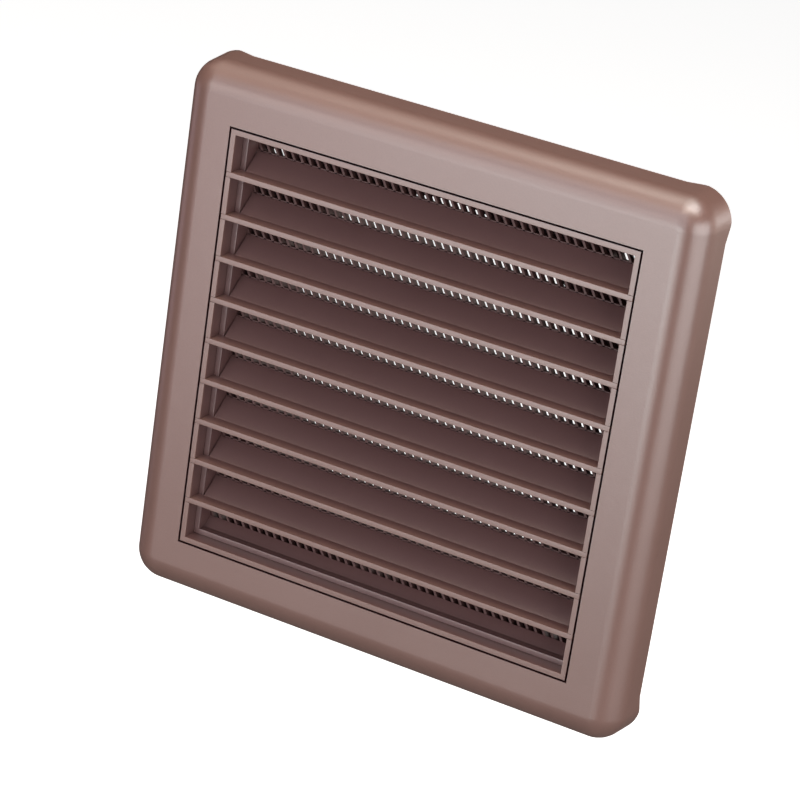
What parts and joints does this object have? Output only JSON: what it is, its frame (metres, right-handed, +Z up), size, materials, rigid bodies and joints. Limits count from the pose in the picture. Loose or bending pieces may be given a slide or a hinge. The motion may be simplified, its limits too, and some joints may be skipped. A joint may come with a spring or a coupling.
{
  "type": "louvred wall vent",
  "caption": "Square louvred wall vent with fixed sloping blades, a fly screen and a round spigot; the grille pulls out to the front.",
  "frame": {"origin": "on the duct's axis, in the plane of the wall, at the centre of the four screw holes", "axes": "+X to the right seen from the front, +Y into the wall along the spigot, +Z up"},
  "size_m": [0.14, 0.0316, 0.14],
  "materials": {
    "cover": "fine-grained satin mauve brown",
    "grille": "satin mauve brown",
    "screen": "satin mauve brown",
    "plate": "plain matt mauve brown",
    "net": "grey-brown netting"
  },
  "bodies": {
    "wall_unit": {"cover": "cover", "wall_plate": "plate"},
    "grille": {"grille_frame": "grille", "louvre_1": "grille", "louvre_2": "grille", "louvre_3": "grille", "louvre_4": "grille", "louvre_5": "grille", "louvre_6": "grille", "louvre_7": "grille", "louvre_8": "grille", "louvre_9": "grille", "screen_frame": "screen", "fly_net": "net"}
  },
  "joints": [
    {"name": "grille_pull", "type": "slide", "parent": "wall_unit", "child": "grille", "axis": [0, -1, 0], "range_m": [0, 0.03]}
  ]
}
